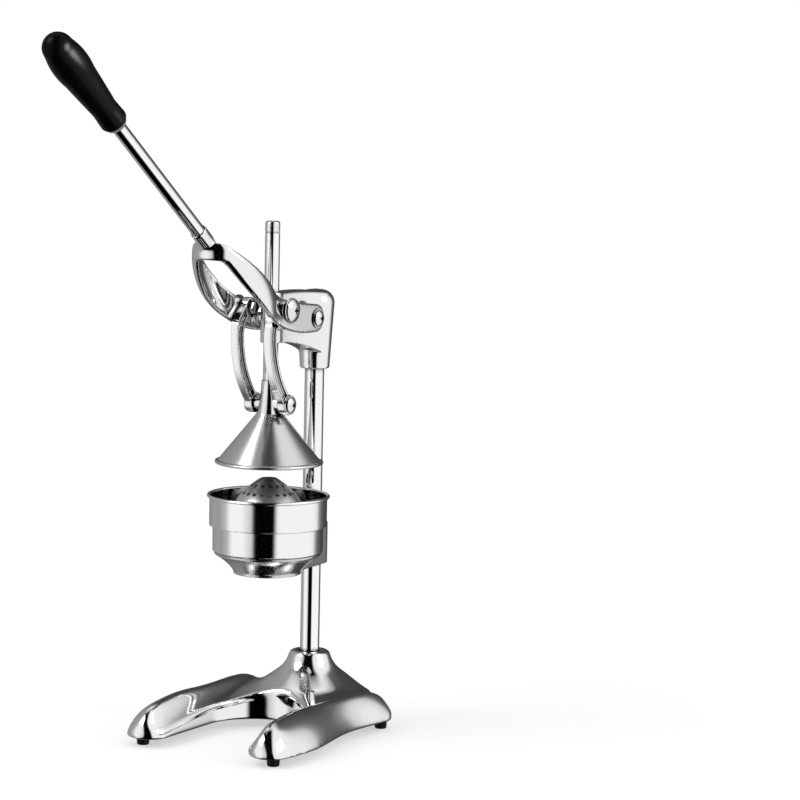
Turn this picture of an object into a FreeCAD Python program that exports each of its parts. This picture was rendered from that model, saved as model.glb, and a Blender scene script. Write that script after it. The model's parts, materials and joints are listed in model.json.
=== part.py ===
import FreeCAD, Part
import math
import os
import Sketcher

# Lever citrus juice press. Millimetres, +Z up, the user stands on the -Y side.
# The origin is on the table, on the axis of the ram, cone, cup and funnel.

os.makedirs("parts", exist_ok=True)
doc = FreeCAD.newDocument("lever_citrus_press")
sheet = doc.addObject("Spreadsheet::Sheet", "Sizes")
Vector = FreeCAD.Vector


class Size:
    """A number together with the sheet formula that gives it."""

    def __init__(self, number, formula):
        self.number = float(number)
        self.formula = formula

    def __float__(self):
        return self.number

    def __add__(self, other):
        other = as_size(other)
        return Size(self.number + other.number, f"({self.formula} + {other.formula})")

    def __radd__(self, other):
        return as_size(other) + self

    def __sub__(self, other):
        other = as_size(other)
        return Size(self.number - other.number, f"({self.formula} - {other.formula})")

    def __rsub__(self, other):
        return as_size(other) - self

    def __mul__(self, other):
        other = as_size(other)
        return Size(self.number * other.number, f"({self.formula} * {other.formula})")

    def __rmul__(self, other):
        return as_size(other) * self

    def __truediv__(self, other):
        other = as_size(other)
        return Size(self.number / other.number, f"({self.formula} / {other.formula})")

    def __neg__(self):
        return Size(-self.number, f"(0 - {self.formula})")


def as_size(value):
    return value if isinstance(value, Size) else Size(value, repr(float(value)))


def sine(angle):
    return Size(math.sin(math.radians(angle.number)), f"sin({angle.formula} * 1 deg)")


def cosine(angle):
    return Size(math.cos(math.radians(angle.number)), f"cos({angle.formula} * 1 deg)")


sheet_row = 0


def size(alias, number):
    """Write one driving dimension into the sheet and return it."""
    global sheet_row
    sheet_row += 1
    sheet.set(f"A{sheet_row}", alias)
    sheet.set(f"B{sheet_row}", str(number))
    sheet.setAlias(f"B{sheet_row}", alias)
    return Size(number, f"Sizes.{alias}")


# Fits, as radial clearances.
running_fit = size("running_fit", 0.05)
seat_fit = size("seat_fit", 0.02)
side_play = size("side_play", 0.2)

# Base casting and its feet.
foot_height = size("foot_height", 8)
foot_radius = size("foot_radius", 6.8)
foot_taper = size("foot_taper", 0.8)
foot_spread = size("foot_spread", 78)
front_foot_reach = size("front_foot_reach", 102.5)
rear_foot_reach = size("rear_foot_reach", 99)
foot_screw_radius = size("foot_screw_radius", 2)
foot_screw_head_radius = size("foot_screw_head_radius", 3.8)
foot_screw_head_height = size("foot_screw_head_height", 2.4)
foot_screw_recess = size("foot_screw_recess", 4.5)
foot_screw_grip = size("foot_screw_grip", 12)
base_half_width = size("base_half_width", 100)
base_waist_half_width = size("base_waist_half_width", 85)
base_heel_half_width = size("base_heel_half_width", 92)
base_front_reach = size("base_front_reach", 121.5)
base_rear_reach = size("base_rear_reach", 115)
base_rear_bulge = size("base_rear_bulge", 6)
heel_radius = size("heel_radius", 28)
heel_edge_round = size("heel_edge_round", 16)
heel_fall_start = size("heel_fall_start", 50)
bay_half_width = size("bay_half_width", 50)
bay_centre_reach = size("bay_centre_reach", 20)
ridge_offset = size("ridge_offset", 71)
ridge_heel_offset = size("ridge_heel_offset", 76)
ridge_half_width = size("ridge_half_width", 5)
crest_height = size("crest_height", 46)
deck_turn_reach = size("deck_turn_reach", 60)
collar_top = size("collar_top", 76)
collar_top_radius = size("collar_top_radius", 21)
bell_waist_radius = size("bell_waist_radius", 30)
bell_waist_height = size("bell_waist_height", 57)
bell_foot_radius = size("bell_foot_radius", 52)
bell_foot_height = size("bell_foot_height", 41.5)
deck_brow_radius = size("deck_brow_radius", 88)
deck_brow_height = size("deck_brow_height", 31)
deck_fall_radius = size("deck_fall_radius", 145)
deck_fall_height = size("deck_fall_height", 23)
deck_toe_radius = size("deck_toe_radius", 205)
deck_toe_height = size("deck_toe_height", 10)
hollow_height = size("hollow_height", 25)
casting_wall = size("casting_wall", 8)
collar_boss_radius = size("collar_boss_radius", 15)
collar_floor = size("collar_floor", 24)
collar_boss_bottom = size("collar_boss_bottom", 12)

# Column.
column_offset = size("column_offset", 82.4)
column_radius = size("column_radius", 10)
column_wall = size("column_wall", 1.5)
column_top = size("column_top", 434)
plug_height = size("plug_height", 20)
bolt_radius = size("bolt_radius", 4)
bolt_head_flats = size("bolt_head_flats", 13)
bolt_head_height = size("bolt_head_height", 5.3)
bolt_washer_radius = size("bolt_washer_radius", 8)
bolt_washer_thickness = size("bolt_washer_thickness", 1.6)
bolt_reach = size("bolt_reach", 28)

# Funnel holder on the column.
outlet_height = size("outlet_height", 168)
outlet_radius = size("outlet_radius", 34.5)
outlet_lip = size("outlet_lip", 3)
funnel_top = size("funnel_top", 191)
funnel_rim_radius = size("funnel_rim_radius", 54)
funnel_cove_radius = size("funnel_cove_radius", 40.5)
funnel_cove_height = size("funnel_cove_height", 178)
funnel_wall = size("funnel_wall", 3.5)
funnel_seat_width = size("funnel_seat_width", 5)
hub_radius = size("hub_radius", 16.5)
hub_top = size("hub_top", 212)
hub_round = size("hub_round", 2.5)
arm_half_width = size("arm_half_width", 16.5)
cup_gap = size("cup_gap", 2.4)
set_screw_radius = size("set_screw_radius", 3)
set_screw_socket = size("set_screw_socket", 3)

# Cup and strainer, pressed from sheet.
sheet_thickness = size("sheet_thickness", 1)
cup_rim_radius = size("cup_rim_radius", 62)
cup_rim_height = size("cup_rim_height", 248)
cup_bead_radius = size("cup_bead_radius", 1.7)
cup_upper_radius = size("cup_upper_radius", 59.4)
cup_lower_radius = size("cup_lower_radius", 55.8)
cup_step_height = size("cup_step_height", 217)
cup_spout_radius = size("cup_spout_radius", 19)
cup_spout_bottom = size("cup_spout_bottom", 176)
cup_floor_fall = size("cup_floor_fall", 5)
cup_floor_rim = size("cup_floor_rim", 47)
dome_top = size("dome_top", 265)
dome_flat_radius = size("dome_flat_radius", 8)
dome_mid_radius = size("dome_mid_radius", 25)
dome_mid_height = size("dome_mid_height", 251.5)
dome_waist_radius = size("dome_waist_radius", 38)
dome_waist_height = size("dome_waist_height", 233)
dome_foot_radius = size("dome_foot_radius", 42)
strainer_hole_radius = size("strainer_hole_radius", 1.9)
strainer_plate_play = size("strainer_plate_play", 0.3)

# Head casting on top of the column.
head_top = size("head_top", 453)
sleeve_radius = size("sleeve_radius", 10.75)
sleeve_top = size("sleeve_top", 453.5)
sleeve_bottom = size("sleeve_bottom", 401.5)
socket_bottom = size("socket_bottom", 370)
socket_radius = size("socket_radius", 15.2)
socket_top_radius = size("socket_top_radius", 19.3)
socket_shoulder_height = size("socket_shoulder_height", 436)
web_half_width = size("web_half_width", 8)
web_rear_half_width = size("web_rear_half_width", 16.5)
web_rear_bottom = size("web_rear_bottom", 384)
web_round = size("web_round", 5)
cross_boss_radius = size("cross_boss_radius", 11.5)
cross_flange_radius = size("cross_flange_radius", 15.5)
cross_flange_end = size("cross_flange_end", 12.6)

# Pivots: the fulcrum on the head, the link pivot on the fork, the ram pivot on the crosshead.
fulcrum_offset = size("fulcrum_offset", 38)
fulcrum_height = size("fulcrum_height", 426)
crank_radius = size("crank_radius", 51)
crank_angle = size("crank_angle", 12.4)
ram_pivot_height = size("ram_pivot_height", 340.7)
pivot_radius = size("pivot_radius", 4)
thread_radius = size("thread_radius", 3)
crosshead_thread_end = size("crosshead_thread_end", 5)

# Lever.
arm_inner = size("arm_inner", 24)
arm_thickness = size("arm_thickness", 7)
arm_eye_radius = size("arm_eye_radius", 14.5)
yoke_centre = size("yoke_centre", 88)
yoke_swell = size("yoke_swell", 5.5)
yoke_swell_start = size("yoke_swell_start", 25)
yoke_swell_end = size("yoke_swell_end", 62)
yoke_swell_round = size("yoke_swell_round", 3.2)
yoke_crown = size("yoke_crown", 24)
yoke_tip = size("yoke_tip", 105)
lever_angle = size("lever_angle", 37.7)
lever_root_reach = size("lever_root_reach", 107)
lever_root_height = size("lever_root_height", 500.8)
lever_socket_radius = size("lever_socket_radius", 8.4)
lever_socket_start = size("lever_socket_start", 3)
lever_socket_length = size("lever_socket_length", 28)
lever_rod_radius = size("lever_rod_radius", 6.9)
lever_rod_seat = size("lever_rod_seat", 13)
grip_start = size("grip_start", 201)
grip_length = size("grip_length", 123)
grip_bore_depth = size("grip_bore_depth", 88)
grip_collar_radius = size("grip_collar_radius", 13.4)
grip_waist_radius = size("grip_waist_radius", 12.5)
grip_palm_radius = size("grip_palm_radius", 17.6)
ferrule_radius = size("ferrule_radius", 10.4)
ferrule_length = size("ferrule_length", 4)

# Link screws, washers and nuts.
link_screw_head_radius = size("link_screw_head_radius", 11.2)
link_screw_head_height = size("link_screw_head_height", 4.8)
link_collar_radius = size("link_collar_radius", 12.4)
link_collar_thickness = size("link_collar_thickness", 2)
screw_head_radius = size("screw_head_radius", 7.8)
screw_head_height = size("screw_head_height", 3.8)
washer_radius = size("washer_radius", 9.9)
washer_thickness = size("washer_thickness", 1.2)
link_nut_flats = size("link_nut_flats", 11)
link_nut_thickness = size("link_nut_thickness", 4.6)
cross_recess_reach = size("cross_recess_reach", 2.6)
cross_recess_width = size("cross_recess_width", 1.1)

# Links.
link_inner = size("link_inner", 15.7)
link_thickness = size("link_thickness", 8)
link_half_width = size("link_half_width", 6.2)
link_eye_radius = size("link_eye_radius", 10.4)
link_bulge = size("link_bulge", 31)
link_bulge_height = size("link_bulge_height", 411)
link_groove_depth = size("link_groove_depth", 2.4)
link_rim = size("link_rim", 2.4)

# Ram.
ram_radius = size("ram_radius", 7.5)
ram_bottom = size("ram_bottom", 346)
ram_shoulder = size("ram_shoulder", 512)
ram_stud_radius = size("ram_stud_radius", 4)
ram_stud_length = size("ram_stud_length", 8)
ram_top = size("ram_top", 524)
cap_neck_radius = size("cap_neck_radius", 6.8)
cap_neck_height = size("cap_neck_height", 1.6)
crosshead_top = size("crosshead_top", 364)
crosshead_top_radius = size("crosshead_top_radius", 8.8)
crosshead_foot_radius = size("crosshead_foot_radius", 13)
crosshead_boss_radius = size("crosshead_boss_radius", 7.6)
cone_top = size("cone_top", 331)
cone_rim_height = size("cone_rim_height", 281.6)
cone_rim_radius = size("cone_rim_radius", 54.8)
cone_bead_radius = size("cone_bead_radius", 1.7)
cone_thickness = size("cone_thickness", 1.2)
cone_screw_radius = size("cone_screw_radius", 3)
cone_screw_reach = size("cone_screw_reach", 5)
cone_screw_head_radius = size("cone_screw_head_radius", 5.2)
cone_screw_head_height = size("cone_screw_head_height", 2.6)
cone_washer_radius = size("cone_washer_radius", 8)
cone_washer_thickness = size("cone_washer_thickness", 1)

doc.recompute()


# Helpers for bodies, sketches and features.

def new_body(name):
    body = doc.addObject("PartDesign::Body", name)
    body.Label = name
    return body


def plane_of(body, role):
    for feature in body.Origin.OriginFeatures:
        if feature.Role == role:
            return feature
    raise ValueError(role)


def bind(item, path, value):
    """Tie a property to the sheet, or set it when it is a plain number."""
    value = as_size(value)
    if "Sizes." in value.formula:
        item.setExpression(path, value.formula)
    else:
        raise ValueError(f"{path} needs a named size")


def new_sketch(body, name, role, lift=None):
    sketch = body.newObject("Sketcher::SketchObject", name)
    sketch.AttachmentSupport = [(plane_of(body, role), "")]
    sketch.MapMode = "FlatFace"
    if lift is not None:
        sketch.AttachmentOffset = FreeCAD.Placement(Vector(0, 0, float(lift)), FreeCAD.Rotation())
        bind(sketch, "AttachmentOffset.Base.z", lift)
    return sketch


def fix_point(sketch, geometry, end, across, up, label):
    """Hold one point at its two coordinates."""
    for kind, value, axis in (("DistanceX", as_size(across), -2), ("DistanceY", as_size(up), -1)):
        if value.number == 0 and "Sizes." not in value.formula:
            sketch.addConstraint(Sketcher.Constraint("PointOnObject", geometry, end, axis))
            continue
        index = sketch.addConstraint(Sketcher.Constraint(kind, geometry, end, value.number))
        if "Sizes." in value.formula:
            name = f"{label}_{'across' if kind == 'DistanceX' else 'up'}"
            sketch.renameConstraint(index, name)
            sketch.setExpression(f"Constraints.{name}", value.formula)


def add_loop(sketch, path):
    """Closed loop. Each corner is (across, up), or (across, up, via_across, via_up) where the
    edge that arrives at the corner is an arc through the via point."""
    first = sketch.GeometryCount
    count = len(path)
    corners = [Vector(float(corner[0]), float(corner[1]), 0) for corner in path]
    ends = []
    for index in range(count):
        start, stop = corners[index], corners[(index + 1) % count]
        arriving = path[(index + 1) % count]
        if len(arriving) == 4:
            through = Vector(float(arriving[2]), float(arriving[3]), 0)
            edge = sketch.addGeometry(Part.Arc(start, through, stop), False)
        else:
            edge = sketch.addGeometry(Part.LineSegment(start, stop), False)
        forward = sketch.getPoint(edge, 1).distanceToPoint(start) < 1e-6
        ends.append((edge, 1, 2) if forward else (edge, 2, 1))
    for index in range(count):
        edge, _, tail = ends[index]
        following, head, _ = ends[(index + 1) % count]
        sketch.addConstraint(Sketcher.Constraint("Coincident", edge, tail, following, head))
    for index in range(count):
        edge, head, _ = ends[index]
        fix_point(sketch, edge, head, path[index][0], path[index][1], f"corner_{first}_{index}")
    for index in range(count):
        arriving = path[(index + 1) % count]
        if len(arriving) == 4:
            through = Vector(float(arriving[2]), float(arriving[3]), 0)
            point = sketch.addGeometry(Part.Point(through), True)
            fix_point(sketch, point, 1, arriving[2], arriving[3], f"via_{first}_{index}")
            sketch.addConstraint(Sketcher.Constraint("PointOnObject", point, 1, ends[index][0]))


def add_circle(sketch, across, up, radius):
    edge = sketch.addGeometry(
        Part.Circle(Vector(float(across), float(up), 0), Vector(0, 0, 1), float(radius)), False)
    fix_point(sketch, edge, 3, across, up, f"centre_{edge}")
    index = sketch.addConstraint(Sketcher.Constraint("Radius", edge, float(radius)))
    sketch.renameConstraint(index, f"radius_{edge}")
    sketch.setExpression(f"Constraints.radius_{edge}", as_size(radius).formula)


def add_polygon(sketch, across, up, flats, sides=6):
    """Regular polygon of a width across flats, such as a hexagon."""
    corner = flats / (2 * math.cos(math.pi / sides))
    path = []
    for index in range(sides):
        turn = 2 * math.pi * index / sides
        path.append((across + corner * math.cos(turn), up + corner * math.sin(turn)))
    add_loop(sketch, path)


def sketch_of(body, name, role, path, lift=None):
    sketch = new_sketch(body, name, role, lift)
    add_loop(sketch, path)
    return sketch


def circle_sketch(body, name, role, across, up, radius, lift=None):
    sketch = new_sketch(body, name, role, lift)
    add_circle(sketch, across, up, radius)
    return sketch


def pad(body, sketch, length, middle=False, reverse=False):
    feature = body.newObject("PartDesign::Pad", "Pad")
    feature.Profile = sketch
    feature.Length = float(length)
    bind(feature, "Length", length)
    feature.Midplane = middle
    feature.Reversed = reverse
    sketch.Visibility = False
    return feature


def pocket(body, sketch, depth=None, middle=False, reverse=False):
    """Cut a sketch into the body, right through when no depth is given."""
    feature = body.newObject("PartDesign::Pocket", "Pocket")
    feature.Profile = sketch
    if depth is None:
        feature.Type = "ThroughAll"
    else:
        feature.Length = float(depth)
        bind(feature, "Length", depth)
    feature.Midplane = middle
    feature.Reversed = reverse
    return feature


def revolve(body, sketch, axis="V_Axis", cut=False):
    kind = "PartDesign::Groove" if cut else "PartDesign::Revolution"
    feature = body.newObject(kind, "Turn")
    feature.Profile = sketch
    feature.ReferenceAxis = (sketch, [axis])
    feature.Angle = 360.0
    return feature


def upright_axis(sketch, across):
    """Construction line at a distance from the sketch origin, used as a turning axis."""
    line = sketch.addGeometry(
        Part.LineSegment(Vector(float(across), 0, 0), Vector(float(across), 10, 0)), True)
    fix_point(sketch, line, 1, across, 0, "axis")
    sketch.addConstraint(Sketcher.Constraint("Vertical", line))
    sketch.addConstraint(Sketcher.Constraint("DistanceY", line, 1, line, 2, 10))
    return "Axis0"


def turned(name, path):
    """Body turned about its own Z axis from an outline of radius and height."""
    body = new_body(name)
    revolve(body, sketch_of(body, "Outline", "XZ_Plane", path))
    return body


def edge_names(feature, test):
    """Names of the edges of a feature whose middle point passes a test."""
    doc.recompute()
    names = []
    for index, edge in enumerate(feature.Shape.Edges, 1):
        middle = edge.valueAt((edge.FirstParameter + edge.LastParameter) / 2)
        if test(edge, middle):
            names.append(f"Edge{index}")
    return names


def rounded(body, feature, radius, test):
    """Fillet on the edges of a feature that pass a test."""
    names = edge_names(feature, test)
    fillet = body.newObject("PartDesign::Fillet", "Round")
    fillet.Base = (feature, names)
    fillet.Radius = float(radius)
    bind(fillet, "Radius", radius)
    return fillet


def put(item, across=None, along=None, up=None):
    """Place a body by sheet formulas."""
    for path, value in (("x", across), ("y", along), ("z", up)):
        if value is not None:
            bind(item, f"Placement.Base.{path}", value)


def lay_across(item):
    """Turn a body's own Z axis to point along X."""
    item.Placement = FreeCAD.Placement(Vector(), FreeCAD.Rotation(Vector(0, 1, 0), 90))


def face_rear(item):
    """Turn a body's own Z axis to point to the rear."""
    item.Placement = FreeCAD.Placement(Vector(), FreeCAD.Rotation(Vector(1, 0, 0), -90))


def mirrored_pair(name, body):
    """A right-hand solid and its left-hand twin as one group."""
    body.Label = f"{name}_right_side"
    twin = doc.addObject("Part::Mirroring", f"{name}_left_side")
    twin.Source = body
    twin.Normal = Vector(1, 0, 0)
    group = doc.addObject("Part::Compound", name)
    group.Links = [body, twin]
    group.Label = name
    return group


def cross_recess(body, face, reach, width, depth):
    """Cross-shaped driver recess cut down from a face height of a turned screw."""
    path = [(reach, width), (width, width), (width, reach), (-width, reach), (-width, width),
            (-reach, width), (-reach, -width), (-width, -width), (-width, -reach), (width, -reach),
            (width, -width), (reach, -width)]
    sketch = sketch_of(body, "Recess", "XY_Plane", path, face)
    return pocket(body, sketch, depth)


# Positions that several pieces share.
link_pivot_along = fulcrum_offset - crank_radius * cosine(crank_angle)
link_pivot_up = fulcrum_height + crank_radius * sine(crank_angle)
arm_outer = arm_inner + arm_thickness
cross_boss_end = arm_inner - side_play
crosshead_boss_end = link_inner - side_play
link_outer = link_inner + link_thickness
cup_floor_top = funnel_top + sheet_thickness
strainer_seat = cup_step_height + sheet_thickness
FOOT_PLACES = {
    "front_left": (-foot_spread, -front_foot_reach),
    "front_right": (foot_spread, -front_foot_reach),
    "rear_left": (-foot_spread, rear_foot_reach),
    "rear_right": (foot_spread, rear_foot_reach),
}


# Base casting: two ridged legs that flare outwards, and a deck that sweeps up from the rim of
# the glass bay to the column collar like a bell.

def make_base():
    body = new_body("base_casting")

    # Deck and bell: a surface of revolution about the column.
    deck = new_sketch(body, "DeckOutline", "YZ_Plane")
    axis = upright_axis(deck, column_offset)

    def at(radius):
        return column_offset - radius

    bell_middle = (collar_top_radius + bell_waist_radius) / 2
    shoulder_middle = (bell_waist_radius + bell_foot_radius) / 2
    brow_middle = (bell_foot_radius + deck_brow_radius) / 2
    fall_middle = (deck_brow_radius + deck_fall_radius) / 2
    toe_middle = (deck_fall_radius + deck_toe_radius) / 2
    add_loop(deck, [
        (column_offset, foot_height),
        (at(deck_toe_radius), foot_height),
        (at(deck_toe_radius), deck_toe_height),
        (at(deck_fall_radius), deck_fall_height,
         at(toe_middle), (deck_toe_height + deck_fall_height) / 2 + 0.6),
        (at(deck_brow_radius), deck_brow_height,
         at(fall_middle), (deck_fall_height + deck_brow_height) / 2 + 1),
        (at(bell_foot_radius), bell_foot_height,
         at(brow_middle), (deck_brow_height + bell_foot_height) / 2 - 1.2),
        (at(bell_waist_radius), bell_waist_height,
         at(shoulder_middle), (bell_foot_height + bell_waist_height) / 2 - 0.5),
        (at(collar_top_radius), collar_top - 2,
         at(bell_middle - 1.4), (bell_waist_height + collar_top) / 2 - 1.6),
        (at(collar_top_radius - 2), collar_top,
         at(collar_top_radius - 0.6), collar_top - 0.6),
        (column_offset, collar_top),
    ])
    revolve(body, deck, axis)

    # The deck ends under the ridges of the legs and draws in behind the collar.
    margin = deck_toe_radius * 1.5
    draw_in = ridge_offset - bell_waist_radius * 0.8
    past_heel = base_rear_reach + base_rear_bulge + 5
    deck_plan = new_sketch(body, "DeckPlan", "XY_Plane")
    add_loop(deck_plan, [(-margin, -margin), (margin, -margin), (margin, margin), (-margin, margin)])
    add_loop(deck_plan, [
        (-ridge_offset, -margin + 5),
        (ridge_offset, -margin + 5),
        (ridge_offset, deck_turn_reach),
        (draw_in, past_heel, (ridge_offset + draw_in) / 2 + 7, (deck_turn_reach + past_heel) / 2 + 5),
        (-draw_in, past_heel),
        (-ridge_offset, deck_turn_reach,
         -(ridge_offset + draw_in) / 2 - 7, (deck_turn_reach + past_heel) / 2 + 5),
    ])
    pocket(body, deck_plan, middle=True)

    # Ridged leg: sections from toe to heel, then the mirror image. Each station has the distance
    # ahead of the origin, the outer edge, the ridge, its height, and the height of the inner rim.
    heel = ridge_heel_offset
    waist = base_waist_half_width
    rear = base_heel_half_width
    rim = deck_toe_height
    stations = (
        (base_front_reach, base_half_width - 14, ridge_offset, foot_height + 5, foot_height + 1),
        (base_front_reach - 5, base_half_width - 10, ridge_offset, crest_height - 20, rim),
        (base_front_reach - 16, base_half_width - 6, ridge_offset, crest_height - 9, rim + 1.5),
        (base_front_reach - 37, base_half_width - 3, ridge_offset, crest_height - 3, rim + 5),
        (base_front_reach - 71, base_half_width - 2, ridge_offset, crest_height, rim + 11),
        (base_front_reach - 111, waist + 6, ridge_offset, crest_height - 1, rim + 16),
        (base_front_reach - 151, waist, ridge_offset + 2, crest_height - 1.5, rim + 18),
        (-base_rear_reach + 55, waist + 1.5, heel - 1, crest_height - 2, rim + 22),
        (-base_rear_reach + 30, rear - 2, heel, crest_height - 6, rim + 23),
        (-base_rear_reach + 11, rear, heel, crest_height - 17, rim + 15),
        (-base_rear_reach - 2, rear, heel, foot_height + 4, foot_height + 1),
    )
    sections = []
    for index, (ahead, outer, ridge, crest, inner) in enumerate(stations):
        shoulder = ridge + ridge_half_width
        land = ridge - ridge_half_width
        low = (crest - foot_height) * 0.06
        path = [
            (bay_half_width - 5, foot_height),
            (outer, foot_height),
            (shoulder, crest - low, (outer + shoulder) / 2 + (crest - foot_height) * 0.09,
             (foot_height + crest) / 2 + (crest - foot_height) * 0.09),
            (land, crest - low, ridge, crest),
            (bay_half_width - 5, inner, (land + bay_half_width) / 2, (crest + inner) / 2 - low),
        ]
        sections.append(sketch_of(body, f"Station{index}", "XZ_Plane", path, ahead))
    leg = body.newObject("PartDesign::AdditiveLoft", "Leg")
    leg.Profile = sections[0]
    leg.Sections = sections[1:]
    leg.Ruled = False
    mirror = body.newObject("PartDesign::Mirrored", "OtherLeg")
    mirror.Originals = [leg]
    mirror.MirrorPlane = (plane_of(body, "YZ_Plane"), [""])
    body.Tip = mirror

    # Plan outline with round toes, round heels and the glass bay.
    toe = ridge_offset + 2
    flank = base_half_width + 2
    toe_rear = base_front_reach - heel_radius - 4
    corner = heel_radius * 0.293
    back = base_heel_half_width + 2
    plan = new_sketch(body, "PlanOutline", "XY_Plane")
    add_loop(plan, [(-margin, -margin), (margin, -margin), (margin, margin), (-margin, margin)])
    add_loop(plan, [
        (bay_half_width, -bay_centre_reach, 0, bay_half_width - bay_centre_reach),
        (bay_half_width, -base_front_reach + toe - bay_half_width),
        (toe, -base_front_reach, bay_half_width + (toe - bay_half_width) * 0.293,
         -base_front_reach + (toe - bay_half_width) * 0.293),
        (flank, -toe_rear, flank - (flank - toe) * 0.293,
         -base_front_reach + (base_front_reach - toe_rear) * 0.293),
        (back, base_rear_reach - heel_radius),
        (back - heel_radius, base_rear_reach, back - corner, base_rear_reach - corner),
        (-back + heel_radius, base_rear_reach, 0, base_rear_reach + base_rear_bulge),
        (-back, base_rear_reach - heel_radius, -back + corner, base_rear_reach - corner),
        (-flank, -toe_rear),
        (-toe, -base_front_reach, -flank + (flank - toe) * 0.293,
         -base_front_reach + (base_front_reach - toe_rear) * 0.293),
        (-bay_half_width, -base_front_reach + toe - bay_half_width,
         -bay_half_width - (toe - bay_half_width) * 0.293,
         -base_front_reach + (toe - bay_half_width) * 0.293),
        (-bay_half_width, -bay_centre_reach),
    ])
    pocket(body, plan, middle=True)

    # The rear falls away: steeply behind the collar, and in a long slope over each heel.
    heel = base_rear_reach + base_rear_bulge
    clear = heel + 5
    falls = []
    for side_sign in (-1, 0, 1):
        if side_sign:
            top = (heel_fall_start, crest_height + 10)
            half_way = (heel_fall_start + heel * 0.28, crest_height - 14)
            low = (base_rear_reach - 3, foot_height - 4)
        else:
            top = (heel - heel_edge_round, collar_top)
            half_way = (heel - heel_edge_round * 0.3, bell_waist_height - 8)
            low = (heel, deck_fall_height)
        falls.append(sketch_of(
            body, f"HeelFall{side_sign + 1}", "YZ_Plane",
            [(*top, *half_way), (clear, top[1]), (clear, low[1]), low],
            side_sign * (base_heel_half_width + 3)))
    fall = body.newObject("PartDesign::SubtractiveLoft", "HeelFall")
    fall.Profile = falls[0]
    fall.Sections = falls[1:]
    fall.Ruled = False
    body.Tip = fall

    # Hollow underside: a pocket under the deck, with a boss for the bolt.
    hollow = new_sketch(body, "Hollow", "XY_Plane", foot_height)
    inside = ridge_offset - casting_wall * 2
    hollow_front = bay_half_width - bay_centre_reach + casting_wall
    hollow_rear = base_rear_reach - casting_wall
    add_loop(hollow, [
        (-inside, hollow_front), (inside, hollow_front), (inside, hollow_rear), (-inside, hollow_rear)])
    add_circle(hollow, 0, column_offset, collar_boss_radius)
    pocket(body, hollow, hollow_height - foot_height, reverse=True)
    lug = circle_sketch(body, "BoltLug", "XY_Plane", 0, column_offset, collar_boss_radius - 4,
                        foot_height)
    pocket(body, lug, collar_boss_bottom - foot_height, reverse=True)

    # Column bore, bolt hole and foot screw holes.
    pocket(body, circle_sketch(body, "ColumnBore", "XY_Plane", 0, column_offset,
                               column_radius + seat_fit, collar_floor), reverse=True)
    pocket(body, circle_sketch(body, "BoltHole", "XY_Plane", 0, column_offset,
                               bolt_radius + seat_fit), middle=True)
    screw_holes = new_sketch(body, "FootScrewHoles", "XY_Plane", foot_height)
    for across, along in FOOT_PLACES.values():
        add_circle(screw_holes, across, along, foot_screw_radius + seat_fit)
    pocket(body, screw_holes, foot_screw_grip, reverse=True)
    return body


def make_feet():
    for place, (across, along) in FOOT_PLACES.items():
        bore = foot_screw_radius + seat_fit
        recess = foot_screw_head_radius + 0.4
        pad_body = turned(f"foot_pad_{place}", [
            (recess, 0),
            (foot_radius - foot_taper - 0.6, 0),
            (foot_radius - foot_taper, 0.6),
            (foot_radius, foot_height),
            (bore, foot_height),
            (bore, foot_screw_recess),
            (recess, foot_screw_recess),
        ])
        put(pad_body, across, along)

    screws = []
    for place, (across, along) in FOOT_PLACES.items():
        screw = turned(f"foot_screw_{place}", [
            (0, foot_screw_recess - foot_screw_head_height),
            (foot_screw_head_radius - 0.8, foot_screw_recess - foot_screw_head_height),
            (foot_screw_head_radius, foot_screw_recess - foot_screw_head_height + 0.8),
            (foot_screw_head_radius, foot_screw_recess),
            (foot_screw_radius, foot_screw_recess),
            (foot_screw_radius, foot_height + foot_screw_grip - 1),
            (0, foot_height + foot_screw_grip - 1),
        ])
        put(screw, across, along)
        screws.append(screw)
    group = doc.addObject("Part::Compound", "foot_screws")
    group.Links = screws
    group.Label = "foot_screws"


def make_column():
    column = turned("column", [
        (column_radius - column_wall, collar_floor),
        (column_radius, collar_floor),
        (column_radius, column_top),
        (column_radius - column_wall, column_top),
    ])
    put(column, along=column_offset)
    inner = column_radius - column_wall - seat_fit
    plug = turned("column_plug", [
        (bolt_radius + seat_fit, collar_floor),
        (inner - 1, collar_floor),
        (inner, collar_floor + 1),
        (inner, collar_floor + plug_height),
        (bolt_radius + seat_fit, collar_floor + plug_height),
    ])
    put(plug, along=column_offset)
    washer_bottom = collar_boss_bottom - bolt_washer_thickness
    washer = turned("column_washer", [
        (bolt_radius + seat_fit, washer_bottom),
        (bolt_washer_radius, washer_bottom),
        (bolt_washer_radius, collar_boss_bottom),
        (bolt_radius + seat_fit, collar_boss_bottom),
    ])
    put(washer, along=column_offset)
    bolt = new_body("column_bolt")
    head = new_sketch(bolt, "Head", "XY_Plane", washer_bottom - bolt_head_height)
    add_polygon(head, as_size(0), as_size(0), bolt_head_flats)
    pad(bolt, head, bolt_head_height)
    shank = circle_sketch(bolt, "Shank", "XY_Plane", 0, 0, bolt_radius, washer_bottom)
    pad(bolt, shank, bolt_reach)
    put(bolt, along=column_offset)


def make_set_screw(name, length):
    """Headless screw with a hexagon socket in its outer end, which faces its own +Z."""
    body = new_body(name)
    pad(body, circle_sketch(body, "Body", "XY_Plane", 0, 0, set_screw_radius - seat_fit), length)
    socket = new_sketch(body, "Socket", "XY_Plane", length)
    add_polygon(socket, as_size(0), as_size(0), set_screw_socket)
    pocket(body, socket, set_screw_socket)
    return body


# Funnel holder: a cast funnel on an arm, with a hub round the column.

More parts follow.
